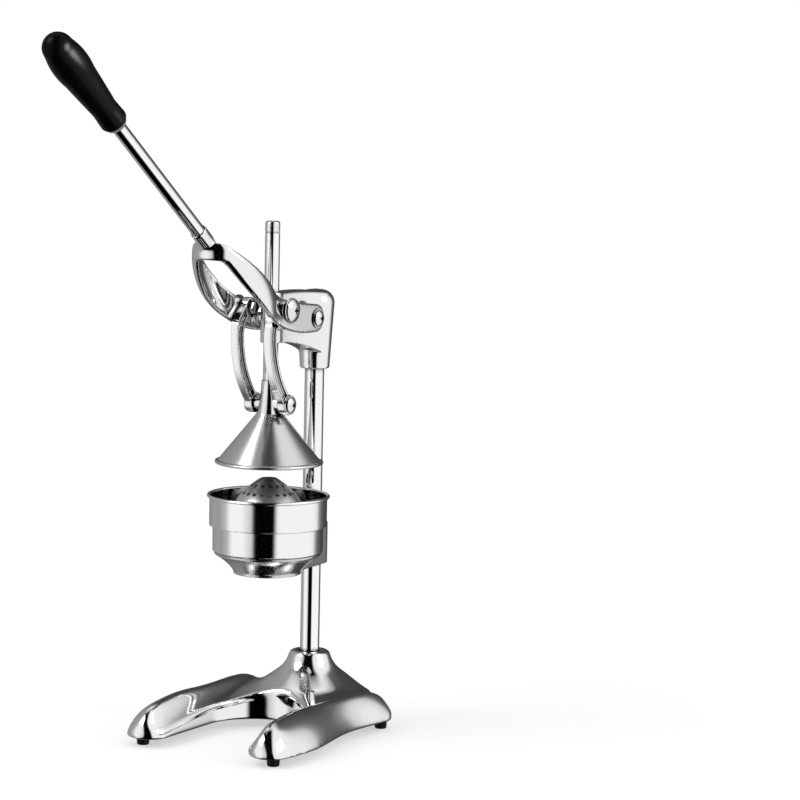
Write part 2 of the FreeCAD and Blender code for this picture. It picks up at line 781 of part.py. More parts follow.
def make_holder():
    body = new_body("funnel_holder")
    funnel = sketch_of(body, "FunnelOutline", "XZ_Plane", [
        (0, outlet_height),
        (outlet_radius, outlet_height),
        (outlet_radius, outlet_height + outlet_lip),
        (funnel_rim_radius, funnel_top - 3, funnel_cove_radius, funnel_cove_height),
        (funnel_rim_radius, funnel_top),
        (0, funnel_top),
    ])
    revolve(body, funnel)
    arm = new_sketch(body, "ArmOutline", "XY_Plane", outlet_height)
    add_loop(arm, [
        (-arm_half_width - 6, outlet_radius * 0.5),
        (arm_half_width + 6, outlet_radius * 0.5),
        (hub_radius, column_offset),
        (-hub_radius, column_offset, 0, column_offset + hub_radius),
    ])
    pad(body, arm, hub_top - outlet_height)

    # The block behind the cup stops short of the cup wall.
    clear = new_sketch(body, "CupClearance", "XY_Plane", funnel_top)
    add_circle(clear, 0, 0, cup_lower_radius + cup_gap)
    pocket(body, clear, hub_top - funnel_top + 1, reverse=True)

    bore = sketch_of(body, "FunnelBore", "XZ_Plane", [
        (0, outlet_height - 1),
        (outlet_radius - funnel_wall, outlet_height - 1),
        (outlet_radius - funnel_wall, outlet_height + outlet_lip),
        (funnel_rim_radius - funnel_seat_width, funnel_top - 2,
         funnel_cove_radius - funnel_wall, funnel_cove_height + 1.5),
        (funnel_rim_radius - funnel_seat_width, funnel_top + 1),
        (0, funnel_top + 1),
    ])
    revolve(body, bore, cut=True)
    pocket(body, circle_sketch(body, "ColumnBore", "XY_Plane", 0, column_offset,
                               column_radius + seat_fit), middle=True)
    screw_height = (outlet_height + hub_top) / 2
    hole = new_sketch(body, "SetScrewHole", "XZ_Plane", -column_offset)
    add_circle(hole, 0, screw_height, set_screw_radius)
    pocket(body, hole, hub_radius + 2)

    rounded(body, body.Tip, hub_round, lambda edge, middle: (
        abs(middle.z - float(hub_top)) < 0.01 and edge.Length > 40))
    screw = make_set_screw("holder_set_screw", hub_radius - column_radius - seat_fit - 0.5)
    face_rear(screw)
    put(screw, None, column_offset + column_radius + seat_fit, screw_height)


# Cup and strainer.

def make_cup():
    bead_centre = cup_rim_radius - cup_bead_radius
    bead_height = cup_rim_height - cup_bead_radius * 0.6
    inner_upper = cup_upper_radius - sheet_thickness
    inner_lower = cup_lower_radius - sheet_thickness
    spout_in = cup_spout_radius - sheet_thickness
    turned("juice_cup", [
        (cup_spout_radius, cup_spout_bottom),
        (cup_spout_radius, funnel_top - cup_floor_fall),
        (cup_floor_rim, funnel_top),
        (cup_lower_radius - 1.2, funnel_top),
        (cup_lower_radius, funnel_top + 1.2,
         cup_lower_radius - 0.35, funnel_top + 0.35),
        (cup_lower_radius, cup_step_height),
        (cup_upper_radius - 0.8, cup_step_height),
        (cup_upper_radius, cup_step_height + 0.8,
         cup_upper_radius - 0.23, cup_step_height + 0.23),
        (cup_upper_radius, bead_height - cup_bead_radius * 0.8),
        (bead_centre, bead_height + cup_bead_radius, cup_rim_radius, bead_height),
        (inner_upper, bead_height, inner_upper + 0.5, bead_height + cup_bead_radius * 0.75),
        (inner_upper, strainer_seat),
        (inner_lower, strainer_seat),
        (inner_lower, cup_floor_top),
        (cup_floor_rim, cup_floor_top),
        (spout_in, cup_floor_top - cup_floor_fall),
        (spout_in, cup_spout_bottom),
    ])


def make_strainer():
    wall = sheet_thickness
    plate_top = strainer_seat + wall
    body = turned("strainer", [
        (0, dome_top),
        (0, dome_top - wall),
        (dome_flat_radius - wall * 0.3, dome_top - wall),
        (dome_waist_radius - wall, dome_waist_height - wall * 0.3,
         dome_mid_radius - wall * 0.75, dome_mid_height - wall * 0.75),
        (dome_foot_radius - wall, strainer_seat),
        (cup_upper_radius - wall - strainer_plate_play, strainer_seat),
        (cup_upper_radius - wall - strainer_plate_play, plate_top),
        (dome_foot_radius, plate_top),
        (dome_waist_radius, dome_waist_height),
        (dome_flat_radius, dome_top, dome_mid_radius, dome_mid_height),
    ])

    # Rows of round holes, each row drilled square to the dome.
    curve = Part.Arc(
        Vector(float(dome_waist_radius), float(dome_waist_height), 0),
        Vector(float(dome_mid_radius), float(dome_mid_height), 0),
        Vector(float(dome_flat_radius), float(dome_top), 0)).toShape()
    for index, (share, count) in enumerate(((0.22, 24), (0.48, 20), (0.74, 14))):
        turn = curve.LastParameter - curve.FirstParameter
        spot = curve.valueAt(curve.FirstParameter + share * turn)
        outward = (spot - curve.Curve.Center).normalize()
        if outward.x < 0:
            outward = -outward
        lean = math.degrees(math.atan2(outward.x, outward.y))
        drill = body.newObject("PartDesign::SubtractiveCylinder", f"Drill{index}")
        drill.Radius = float(strainer_hole_radius)
        bind(drill, "Radius", strainer_hole_radius)
        drill.Height = 12
        drill.Placement = FreeCAD.Placement(
            Vector(spot.x, 0, spot.y), FreeCAD.Rotation(Vector(0, 1, 0), lean)) * FreeCAD.Placement(
            Vector(0, 0, -6), FreeCAD.Rotation())
        ring = body.newObject("PartDesign::PolarPattern", f"Row{index}")
        ring.Originals = [drill]
        ring.Axis = (plane_of(body, "Z_Axis"), [""])
        ring.Angle = 360.0
        ring.Occurrences = count
        body.Tip = ring
    return body


# Head casting: a sleeve for the ram, a socket for the column, a web between them and a cross
# boss for the lever's fulcrum.

def make_head():
    body = new_body("head_casting")
    socket = new_sketch(body, "SocketOutline", "YZ_Plane")
    axis = upright_axis(socket, column_offset)
    crown = head_top - 1
    add_loop(socket, [
        (column_offset, socket_bottom),
        (column_offset + socket_radius, socket_bottom),
        (column_offset + socket_top_radius, socket_shoulder_height),
        (column_offset + socket_top_radius - 11, crown - 1,
         column_offset + socket_top_radius - 2.6, crown - 6),
        (column_offset, crown),
    ])
    revolve(body, socket, axis)

    # Web with rounded upper edges, widening from the sleeve to the socket.
    stations = (
        (0, web_half_width, sleeve_bottom, head_top),
        (column_offset / 2, (web_half_width * 3 + web_rear_half_width) / 4, sleeve_bottom - 4, head_top),
        (column_offset, web_rear_half_width, web_rear_bottom, head_top - 3),
    )
    sections = []
    for index, (along, half, low, high) in enumerate(stations):
        near = web_round * 0.293
        path = [
            (-half, low),
            (half, low),
            (half, high - web_round),
            (half - web_round, high, half - near, high - near),
            (-half + web_round, high),
            (-half, high - web_round, -half + near, high - near),
        ]
        lift = -as_size(along) if index else None
        sections.append(sketch_of(body, f"WebStation{index}", "XZ_Plane", path, lift))
    web = body.newObject("PartDesign::AdditiveLoft", "Web")
    web.Profile = sections[0]
    web.Sections = sections[1:]
    web.Ruled = False

    sleeve = circle_sketch(body, "Sleeve", "XY_Plane", 0, 0, sleeve_radius, sleeve_bottom)
    pad(body, sleeve, sleeve_top - sleeve_bottom)
    flange = circle_sketch(body, "Flange", "YZ_Plane", fulcrum_offset, fulcrum_height,
                           cross_flange_radius)
    pad(body, flange, cross_flange_end * 2, middle=True)
    boss = circle_sketch(body, "CrossBoss", "YZ_Plane", fulcrum_offset, fulcrum_height,
                         cross_boss_radius)
    pad(body, boss, cross_boss_end * 2, middle=True)

    # Bores for ram, column, fulcrum screws and the set screw.
    pocket(body, circle_sketch(body, "RamBore", "XY_Plane", 0, 0, ram_radius + running_fit),
           middle=True)
    column_bore = circle_sketch(body, "ColumnBore", "XY_Plane", 0, column_offset,
                                column_radius + seat_fit, socket_bottom)
    pocket(body, column_bore, column_top - socket_bottom, reverse=True)
    pocket(body, circle_sketch(body, "FulcrumThread", "YZ_Plane", fulcrum_offset, fulcrum_height,
                               thread_radius + seat_fit), middle=True)
    screw_height = socket_bottom + 24
    hole = new_sketch(body, "SetScrewHole", "XZ_Plane", -column_offset)
    add_circle(hole, 0, screw_height, set_screw_radius)
    pocket(body, hole, socket_top_radius + 4)

    edge_round = web_round * 0.4
    rounded(body, body.Tip, edge_round, lambda edge, middle: (
        abs(abs(middle.x) - float(cross_boss_end)) < 0.01 and edge.Length > 40
        or abs(abs(middle.x) - float(cross_flange_end)) < 0.01 and edge.Length > 80
        or middle.z > float(sleeve_top) - 0.01 and edge.Length > 50))
    screw = make_set_screw("head_set_screw", socket_radius - column_radius - seat_fit + 0.4)
    face_rear(screw)
    put(screw, None, column_offset + column_radius + seat_fit, screw_height)


def turned_across(name, path, along, up):
    """Piece turned about the X direction; the outline's heights are distances from the middle."""
    body = turned(name, path)
    lay_across(body)
    put(body, None, along, up)
    return body


def screw_outline(shank, inner_end, seat, head_radius, head_height, thread=None, thread_end=None):
    """Round-headed screw: its head sits on the seat and rises away from it."""
    path = []
    if thread is not None:
        path += [(0, thread_end), (thread, thread_end), (thread, inner_end)]
    else:
        path += [(0, inner_end)]
    path += [
        (shank, inner_end),
        (shank, seat),
        (head_radius, seat),
        (head_radius, seat + head_height * 0.35),
        (0, seat + head_height, head_radius * 0.62, seat + head_height * 0.82),
    ]
    return path


def make_fulcrum():
    seat = arm_outer + side_play + washer_thickness
    screw = turned_across("fulcrum_screw", screw_outline(
        pivot_radius, cross_boss_end, seat, screw_head_radius, screw_head_height,
        thread_radius, cross_flange_end), fulcrum_offset, fulcrum_height)
    cross_recess(screw, seat + screw_head_height + 0.1, cross_recess_reach, cross_recess_width,
                 screw_head_height * 0.6)
    mirrored_pair("fulcrum_screws", screw)
    washer = turned_across("fulcrum_washer", [
        (pivot_radius + seat_fit, seat - washer_thickness),
        (washer_radius, seat - washer_thickness),
        (washer_radius, seat),
        (pivot_radius + seat_fit, seat),
    ], fulcrum_offset, fulcrum_height)
    mirrored_pair("fulcrum_washers", washer)


# Lever: a cast yoke that straddles the ram, a steel rod and a moulded grip.

def make_lever_fork():
    body = new_body("lever_fork")
    front = -yoke_centre
    rear = fulcrum_offset + arm_eye_radius + 10
    top = lever_root_height + 40

    def flank(side_sign, width, crown, tip):
        """Plan of one side from the eyes to the crown: straight, bowed out, then round."""
        swell = yoke_swell
        half_way = (yoke_swell_start + yoke_swell_end) / 2
        ahead = half_way - yoke_swell_start
        return [
            (side_sign * width, -yoke_swell_start),
            (side_sign * (width + swell / 2), -half_way,
             side_sign * (width + swell / 8), -yoke_swell_start - ahead / 2),
            (side_sign * (width + swell), -yoke_swell_end,
             side_sign * (width + swell * 7 / 8), -half_way - ahead / 2),
            (side_sign * crown, -tip, side_sign * (width + swell - yoke_swell_round),
             -(yoke_swell_end + tip) / 2 - yoke_swell_round / 4),
        ]

    def back_again(corners):
        """The same corners the other way round, with each arc's via kept on its own edge."""
        turned_round = [corners[-1][:2]]
        for corner, onward in zip(corners[-2::-1], corners[:0:-1]):
            turned_round.append((*corner[:2], *onward[2:]))
        return turned_round

    crown_inner = yoke_crown - arm_thickness * 0.87
    tip_inner = yoke_tip - arm_thickness * 0.5
    plan = sketch_of(body, "YokePlan", "XY_Plane", [
        (-arm_outer, rear),
        *flank(-1, arm_outer, yoke_crown, yoke_tip),
        (yoke_crown, -yoke_tip, 0, front - arm_outer),
        *back_again(flank(1, arm_outer, yoke_crown, yoke_tip))[1:],
        (arm_outer, rear),
        (arm_inner, rear),
        *flank(1, arm_inner, crown_inner, tip_inner),
        (-crown_inner, -tip_inner, 0, front - arm_inner),
        *back_again(flank(-1, arm_inner, crown_inner, tip_inner))[1:],
        (-arm_inner, rear),
    ], fulcrum_height - 60)
    pad(body, plan, top - fulcrum_height + 60)

    # Side view: the band curves from the root down to the eyes.
    root_front = front - arm_outer - 6
    root_top = lever_root_height + 6
    eye_top = fulcrum_height + arm_eye_radius
    eye_bottom = fulcrum_height - arm_eye_radius
    side = new_sketch(body, "YokeSide", "YZ_Plane")
    add_loop(side, [
        (root_front - 20, fulcrum_height - 90), (rear + 20, fulcrum_height - 90),
        (rear + 20, top + 30), (root_front - 20, top + 30)])
    add_loop(side, [
        (root_front, root_top),
        (root_front, lever_root_height - 9),
        (-lever_root_reach - 2, lever_root_height - 12),
        (link_pivot_along - 31, link_pivot_up - 8,
         -lever_root_reach * 0.75, fulcrum_height + 31),
        (fulcrum_offset, eye_bottom, link_pivot_along + 5, eye_bottom + 4),
        (fulcrum_offset, eye_top, fulcrum_offset + arm_eye_radius, fulcrum_height),
        (link_pivot_along + 6, link_pivot_up + 8),
        (link_pivot_along - 42, link_pivot_up + 30.5, link_pivot_along - 17, link_pivot_up + 14),
        (-lever_root_reach - 6, lever_root_height + 6.5,
         -lever_root_reach * 0.8, lever_root_height - 11),
    ])
    pocket(body, side, middle=True)

    socket = body.newObject("PartDesign::AdditiveCylinder", "RodSocket")
    socket.Radius = float(lever_socket_radius)
    bind(socket, "Radius", lever_socket_radius)
    socket.Height = float(lever_socket_length)
    bind(socket, "Height", lever_socket_length)
    place_on_lever(socket, lever_socket_start)
    inside = sketch_of(body, "YokeInside", "XY_Plane", [
        (-crown_inner, -tip_inner),
        (crown_inner, -tip_inner, 0, front - arm_inner),
        (crown_inner, -yoke_swell_end),
        (-crown_inner, -yoke_swell_end),
    ])
    pocket(body, inside, middle=True)
    bore = body.newObject("PartDesign::SubtractiveCylinder", "RodBore")
    bore.Radius = float(lever_rod_radius)
    bind(bore, "Radius", lever_rod_radius + seat_fit)
    bore.Height = float(lever_socket_length)
    bind(bore, "Height", lever_socket_length)
    place_on_lever(bore, lever_rod_seat)

    # Pivot holes: the fulcrum runs on its screws, the link screws are fast in the yoke.
    pocket(body, circle_sketch(body, "FulcrumHoles", "YZ_Plane", fulcrum_offset, fulcrum_height,
                               pivot_radius + running_fit), middle=True)
    pocket(body, circle_sketch(body, "LinkHoles", "YZ_Plane", link_pivot_along, link_pivot_up,
                               pivot_radius + seat_fit), middle=True)
    return body


def place_on_lever(item, distance):
    """Put a primitive or body on the lever's axis at a distance from its root."""
    lean = 90 - lever_angle
    item.Placement = FreeCAD.Placement(
        Vector(), FreeCAD.Rotation(Vector(1, 0, 0), float(lean)))
    bind(item, "Placement.Rotation.Angle", lean)
    bind(item, "Placement.Base.y", -(lever_root_reach + distance * cosine(lever_angle)))
    bind(item, "Placement.Base.z", lever_root_height + distance * sine(lever_angle))


def make_lever_handle():
    seat = lever_rod_seat + 0.3
    rod_end = grip_start + grip_bore_depth
    rod = turned("lever_rod", [
        (0, 0), (lever_rod_radius - 0.8, 0), (lever_rod_radius, 0.8),
        (lever_rod_radius, rod_end - seat - 0.8), (lever_rod_radius - 0.8, rod_end - seat),
        (0, rod_end - seat),
    ])
    place_on_lever(rod, seat)

    bore = lever_rod_radius + seat_fit
    ferrule = turned("grip_ferrule", [
        (bore, 0), (ferrule_radius - 0.8, 0), (ferrule_radius, 0.8),
        (ferrule_radius, ferrule_length), (bore, ferrule_length),
    ])
    place_on_lever(ferrule, grip_start - ferrule_length)

    length = grip_length
    grip = turned("lever_grip", [
        (bore, 0),
        (ferrule_radius + 0.6, 0),
        (grip_collar_radius, 3, grip_collar_radius - 0.6, 0.9),
        (grip_waist_radius, length * 0.17, grip_waist_radius + 0.35, length * 0.1),
        (grip_palm_radius - 1.4, length * 0.56, grip_waist_radius + 1.9, length * 0.36),
        (grip_palm_radius - 2.8, length * 0.87, grip_palm_radius, length * 0.73),
        (grip_palm_radius * 0.12, length, grip_palm_radius * 0.6, length * 0.963),
        (0, length),
        (0, grip_bore_depth + 0.5),
        (bore, grip_bore_depth + 0.5),
    ])
    place_on_lever(grip, grip_start)


def make_link_fastenings():
    seat = arm_outer + link_collar_thickness
    screw = turned_across("link_screw", screw_outline(
        pivot_radius, arm_inner + 0.2, seat, link_screw_head_radius, link_screw_head_height),
        link_pivot_along, link_pivot_up)
    cross_recess(screw, seat + link_screw_head_height + 0.1, cross_recess_reach + 0.8,
                 cross_recess_width, link_screw_head_height * 0.5)
    mirrored_pair("link_screws", screw)
    collar = turned_across("link_collar", [
        (pivot_radius + seat_fit, arm_outer),
        (link_collar_radius, arm_outer),
        (link_collar_radius, seat - 0.5),
        (link_collar_radius - 0.5, seat),
        (pivot_radius + seat_fit, seat),
    ], link_pivot_along, link_pivot_up)
    mirrored_pair("link_collars", collar)


# Links: bowed, grooved castings from the fork to the crosshead.

def make_link():
    body = new_body("link_right")
    top_along, top_up = link_pivot_along, link_pivot_up
    foot_along, foot_up = as_size(0), ram_pivot_height
    belly_along, belly_up = -link_bulge, link_bulge_height

    def bow(offset):
        """Radii and via points of the two arcs that pass through the belly, at an offset."""
        rise = top_up - belly_up
        run = top_along - belly_along
        upper = (rise * rise + run * run) / (run * 2)
        fall = belly_up - foot_up
        sweep = foot_along - belly_along
        lower = (fall * fall + sweep * sweep) / (sweep * 2)
        upper_centre = belly_along + upper
        lower_centre = belly_along + lower
        upper_radius = upper + offset
        lower_radius = lower + offset
        top = (upper_centre + upper_radius * (top_along - upper_centre) / upper,
               belly_up + upper_radius * rise / upper)
        foot = (lower_centre + lower_radius * (foot_along - lower_centre) / lower,
                belly_up - lower_radius * fall / lower)
        high = math.atan2(float(rise), float(upper_centre - top_along)) / 2
        low = math.atan2(float(fall), float(lower_centre - foot_along)) / 2
        upper_via = (upper_centre - upper_radius * math.cos(high),
                     belly_up + upper_radius * math.sin(high))
        lower_via = (lower_centre - lower_radius * math.cos(low),
                     belly_up - lower_radius * math.sin(low))
        belly = (belly_along - offset, belly_up)
        return top, upper_via, belly, lower_via, foot

    def band(offset, name, lift):
        outer_top, outer_upper, outer_belly, outer_lower, outer_foot = bow(offset)
        inner_top, inner_upper, inner_belly, inner_lower, inner_foot = bow(-offset)
        return sketch_of(body, name, "YZ_Plane", [
            outer_top,
            (*outer_belly, *outer_upper),
            (*outer_foot, *outer_lower),
            inner_foot,
            (*inner_belly, *inner_lower),
            (*inner_top, *inner_upper),
        ], lift)

    pad(body, band(link_half_width, "Bow", link_inner), link_thickness)
    for name, along, up in (("TopEye", top_along, top_up), ("FootEye", foot_along, foot_up)):
        pad(body, circle_sketch(body, name, "YZ_Plane", along, up, link_eye_radius, link_inner),
            link_thickness)
    groove = band(link_half_width - link_rim, "InnerGroove", link_inner)
    pocket(body, groove, link_groove_depth, reverse=True)
    groove = band(link_half_width - link_rim, "OuterGroove", link_outer)
    pocket(body, groove, link_groove_depth)
    for name, along, up in (("TopBoss", top_along, top_up), ("FootBoss", foot_along, foot_up)):
        pad(body, circle_sketch(body, name, "YZ_Plane", along, up, link_eye_radius, link_inner),
            link_thickness)
    pocket(body, circle_sketch(body, "TopHole", "YZ_Plane", top_along, top_up,
                               pivot_radius + seat_fit), middle=True)
    pocket(body, circle_sketch(body, "FootHole", "YZ_Plane", foot_along, foot_up,
                               pivot_radius + running_fit), middle=True)
    return body


def make_links():
    right = make_link()
    left = doc.addObject("Part::Mirroring", "link_left")
    left.Source = right
    left.Normal = Vector(1, 0, 0)
    left.Label = "link_left"

    nut = new_body("link_nut")
    flats = new_sketch(nut, "Flats", "YZ_Plane", link_inner - link_nut_thickness)
    add_polygon(flats, link_pivot_along, link_pivot_up, link_nut_flats)
    pad(nut, flats, link_nut_thickness)
    stub = circle_sketch(nut, "Stub", "YZ_Plane", link_pivot_along, link_pivot_up,
                         pivot_radius, link_inner)
    pad(nut, stub, link_thickness)
    mirrored_pair("link_nuts", nut)


# Ram: rod, end cap, crosshead and press cone.

def make_ram():
    turned("ram_rod", [
        (0, ram_bottom), (ram_radius - 0.6, ram_bottom), (ram_radius, ram_bottom + 0.6),
        (ram_radius, ram_shoulder), (ram_stud_radius, ram_shoulder),
        (ram_stud_radius, ram_shoulder + ram_stud_length), (0, ram_shoulder + ram_stud_length),
    ])
    stud_bore = ram_stud_radius + seat_fit
    turned("ram_end_cap", [
        (stud_bore, ram_shoulder),
        (cap_neck_radius, ram_shoulder),
        (cap_neck_radius, ram_shoulder + cap_neck_height),
        (ram_radius, ram_shoulder + cap_neck_height),
        (ram_radius, ram_top - 2.6),
        (ram_radius - 2.6, ram_top, ram_radius - 0.76, ram_top - 0.76),
        (0, ram_top),
        (0, ram_shoulder + ram_stud_length + 0.3),
        (stud_bore, ram_shoulder + ram_stud_length + 0.3),
    ])


def make_crosshead():
    body = new_body("crosshead")
    bell = sketch_of(body, "Bell", "XZ_Plane", [
        (0, cone_top),
        (crosshead_foot_radius, cone_top),
        (crosshead_top_radius, crosshead_top,
         (crosshead_foot_radius + crosshead_top_radius) / 2 - 0.9, (cone_top + crosshead_top) / 2),
        (0, crosshead_top),
    ])
    revolve(body, bell)
    bosses = circle_sketch(body, "Bosses", "YZ_Plane", 0, ram_pivot_height, crosshead_boss_radius)
    pad(body, bosses, crosshead_boss_end * 2, middle=True)
    bore = circle_sketch(body, "RodBore", "XY_Plane", 0, 0, ram_radius + seat_fit, ram_bottom)
    pocket(body, bore, crosshead_top - ram_bottom + 1, reverse=True)
    pocket(body, circle_sketch(body, "PivotThreads", "YZ_Plane", 0, ram_pivot_height,
                               thread_radius + seat_fit), middle=True)
    cone_thread = circle_sketch(body, "ConeThread", "XY_Plane", 0, 0,
                                cone_screw_radius + seat_fit, cone_top)
    pocket(body, cone_thread, cone_screw_reach + 0.5, reverse=True)

    seat = link_outer + side_play + washer_thickness
    screw = turned_across("crosshead_screw", screw_outline(
        pivot_radius, crosshead_boss_end, seat, screw_head_radius, screw_head_height,
        thread_radius, crosshead_thread_end), None, ram_pivot_height)
    cross_recess(screw, seat + screw_head_height + 0.1, cross_recess_reach, cross_recess_width,
                 screw_head_height * 0.6)
    mirrored_pair("crosshead_screws", screw)
    washer = turned_across("crosshead_washer", [
        (pivot_radius + seat_fit, seat - washer_thickness),
        (washer_radius, seat - washer_thickness),
        (washer_radius, seat),
        (pivot_radius + seat_fit, seat),
    ], None, ram_pivot_height)
    mirrored_pair("crosshead_washers", washer)


def make_cone():
    wall = cone_thickness
    bead = cone_rim_radius - cone_bead_radius
    skirt = bead - cone_bead_radius
    turned("press_cone", [
        (cone_screw_radius + seat_fit, cone_top - wall),
        (crosshead_foot_radius - wall * 0.4, cone_top - wall),
        (skirt - wall * 1.25, cone_rim_height + cone_bead_radius * 1.2),
        (bead, cone_rim_height - cone_bead_radius, skirt - 0.3, cone_rim_height - 0.7),
        (bead, cone_rim_height + cone_bead_radius, cone_rim_radius, cone_rim_height),
        (skirt, cone_rim_height + cone_bead_radius * 1.2),
        (crosshead_foot_radius, cone_top),
        (cone_screw_radius + seat_fit, cone_top),
    ])
    washer_bottom = cone_top - wall - cone_washer_thickness
    turned("cone_washer", [
        (cone_screw_radius + seat_fit, washer_bottom),
        (cone_washer_radius, washer_bottom),
        (cone_washer_radius, cone_top - wall),
        (cone_screw_radius + seat_fit, cone_top - wall),
    ])
    turned("cone_screw", [
        (0, washer_bottom - cone_screw_head_height),
        (cone_screw_head_radius - 1, washer_bottom - cone_screw_head_height),
        (cone_screw_head_radius, washer_bottom - cone_screw_head_height + 1),
        (cone_screw_head_radius, washer_bottom),
        (cone_screw_radius, washer_bottom),
        (cone_screw_radius, cone_top + cone_screw_reach),
        (0, cone_top + cone_screw_reach),
    ])


make_base()
make_feet()
make_column()
make_holder()
make_cup()
make_strainer()
make_head()
make_fulcrum()
make_lever_fork()
make_lever_handle()
make_link_fastenings()
make_links()
make_ram()
make_crosshead()
make_cone()
doc.recompute()

NODES = (
    "base_casting", "foot_pad_front_left", "foot_pad_front_right", "foot_pad_rear_left",
    "foot_pad_rear_right", "foot_screws", "column", "column_plug", "column_washer", "column_bolt",
    "funnel_holder", "holder_set_screw", "juice_cup", "strainer", "head_casting",
    "head_set_screw", "fulcrum_screws", "fulcrum_washers", "lever_fork", "lever_rod",
    "lever_grip", "grip_ferrule", "link_screws", "link_collars", "link_left", "link_right",
    "link_nuts", "ram_rod", "ram_end_cap", "crosshead", "crosshead_screws", "crosshead_washers",
    "press_cone", "cone_washer", "cone_screw",
)

problems = []
for item in doc.Objects:
    if "Invalid" in item.State or "Error" in item.State:
        problems.append(f"{item.Label}: {item.State}")
solids = {}
for name in NODES:
    found = doc.getObjectsByLabel(name)
    shape = found[0].Shape if found else Part.Shape()
    if shape.isNull() or not shape.isValid() or not shape.Solids:
        problems.append(f"{name}: no valid solid")
    solids[name] = shape
if problems:
    raise SystemExit("\n".join(problems))
for name, shape in solids.items():
    shape.exportStep(f"parts/{name}.step")
print(f"{len(solids)} sub-parts written")
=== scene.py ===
"""Lever citrus press in chrome: finishes, studio and camera, in metres, with the lever up."""
import json
from math import cos, pi, prod, radians, sin

import bpy
from mathutils import Matrix, Vector


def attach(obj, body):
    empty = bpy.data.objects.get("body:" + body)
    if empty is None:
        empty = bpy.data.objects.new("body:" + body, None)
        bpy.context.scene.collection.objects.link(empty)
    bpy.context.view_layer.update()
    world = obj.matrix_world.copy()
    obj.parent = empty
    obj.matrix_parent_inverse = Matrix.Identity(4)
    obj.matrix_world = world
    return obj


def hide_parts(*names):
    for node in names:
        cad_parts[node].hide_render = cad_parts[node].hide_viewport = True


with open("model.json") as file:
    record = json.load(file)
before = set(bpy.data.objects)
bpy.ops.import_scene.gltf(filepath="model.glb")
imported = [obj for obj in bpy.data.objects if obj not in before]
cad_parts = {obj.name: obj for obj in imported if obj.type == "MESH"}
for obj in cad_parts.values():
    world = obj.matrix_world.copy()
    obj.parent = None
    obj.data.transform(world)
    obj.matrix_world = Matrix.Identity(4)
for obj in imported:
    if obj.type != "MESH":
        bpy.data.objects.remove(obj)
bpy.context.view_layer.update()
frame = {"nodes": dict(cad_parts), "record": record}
NODES = frame["nodes"]
SUBPARTS = frame["record"]["subparts"]
BODIES = frame["record"]["behaviour"]["bodies"]
MM = 0.001


# Colour and shader helpers

def shade(code, alpha=1.0):
    """An sRGB hex colour as linear red, green, blue and alpha."""
    channels = [int(code[at:at + 2], 16) / 255 for at in (0, 2, 4)]
    linear = tuple(c / 12.92 if c <= 0.04045 else ((c + 0.055) / 1.055) ** 2.4 for c in channels)
    return linear + (alpha,)


def add_node(tree, kind, inputs=None, **settings):
    """Adds a shader node with its settings; an input takes a value or another node's socket."""
    made = tree.nodes.new(kind)
    for name, value in settings.items():
        setattr(made, name, value)
    for name, value in (inputs or {}).items():
        if isinstance(value, bpy.types.NodeSocket):
            tree.links.new(value, made.inputs[name])
        else:
            made.inputs[name].default_value = value
    return made


def set_ramp(ramp, stops):
    """Places the stops of a colour ramp; each is a place and a grey level."""
    elements = ramp.color_ramp.elements
    while len(elements) > 1:
        elements.remove(elements[-1])
    elements[0].position = stops[0][0]
    elements[0].color = (stops[0][1],) * 3 + (1,)
    for place, level in stops[1:]:
        stop = elements.new(place)
        stop.color = (level,) * 3 + (1,)


def start_material(name):
    """An empty material, and the tree to build it in."""
    material = bpy.data.materials.new(name)
    material.use_nodes = True
    tree = material.node_tree
    tree.nodes.clear()
    return material, tree


def finish_material(tree, shader):
    """Leads the finished shader to the material's surface."""
    add_node(tree, "ShaderNodeOutputMaterial", {"Surface": shader.outputs["BSDF"]})


def object_place(tree):
    """The place on the piece itself, in metres, which all patterns are tied to."""
    return add_node(tree, "ShaderNodeTexCoord").outputs["Object"]


# Most of a noise texture lies between these levels, so they get the full range of gloss.
NOISE_LOW, NOISE_HIGH = 0.3, 0.7


def uneven_gloss(tree, noise, smooth, dull):
    """Roughness that wanders between smooth and dull with a noise texture."""
    gloss = add_node(tree, "ShaderNodeMapRange",
                     {"Value": noise.outputs["Fac"], "From Min": NOISE_LOW, "From Max": NOISE_HIGH,
                      "To Min": smooth, "To Max": dull})
    return gloss.outputs["Result"]


def uneven_skin(tree, place, width_mm, depth_mm, detail):
    """A bumped surface whose swellings have the given width and depth."""
    swelling = add_node(tree, "ShaderNodeTexNoise",
                        {"Vector": place, "Scale": 1 / (width_mm * MM), "Detail": detail})
    skin = add_node(tree, "ShaderNodeBump",
                    {"Height": swelling.outputs["Fac"], "Strength": 1.0, "Distance": depth_mm * MM})
    return skin.outputs["Normal"]


# The grey of the painted shade in corners and holes, how far off a wall still shades a corner, and
# the shares of open sky between which the metal goes from painted shade to its own colour
PAINTED_SHADE = "161718"
CASTING_REACH_MM = 5
CASTING_CLOSED, CASTING_CLEAR = 0.4, 0.95
SHEET_REACH_MM = 60
SHEET_CLOSED, SHEET_CLEAR = 0.12, 0.62


def paint_corner_shade(tree, colour, reach_mm, closed, clear):
    """The metal's colour with painted shade in corners and holes, where shade falls: fully dark
    where the share of open sky is closed or less, and the metal's own colour from clear upwards."""
    open_sky = add_node(tree, "ShaderNodeAmbientOcclusion", {"Distance": reach_mm * MM}, samples=8)
    unshaded = add_node(tree, "ShaderNodeMapRange",
                     {"Value": open_sky.outputs["AO"], "From Min": closed, "From Max": clear})
    tone = add_node(tree, "ShaderNodeMix",
                    {"Factor": unshaded.outputs["Result"], "A": shade(PAINTED_SHADE), "B": shade(colour)},
                    data_type="RGBA")
    return tone.outputs["Result"]


# How wide the patches are that hands and cloths wipe duller or smoother
WIPED_PATCH_MM = 18
RUBBED_PATCH_MM = 25
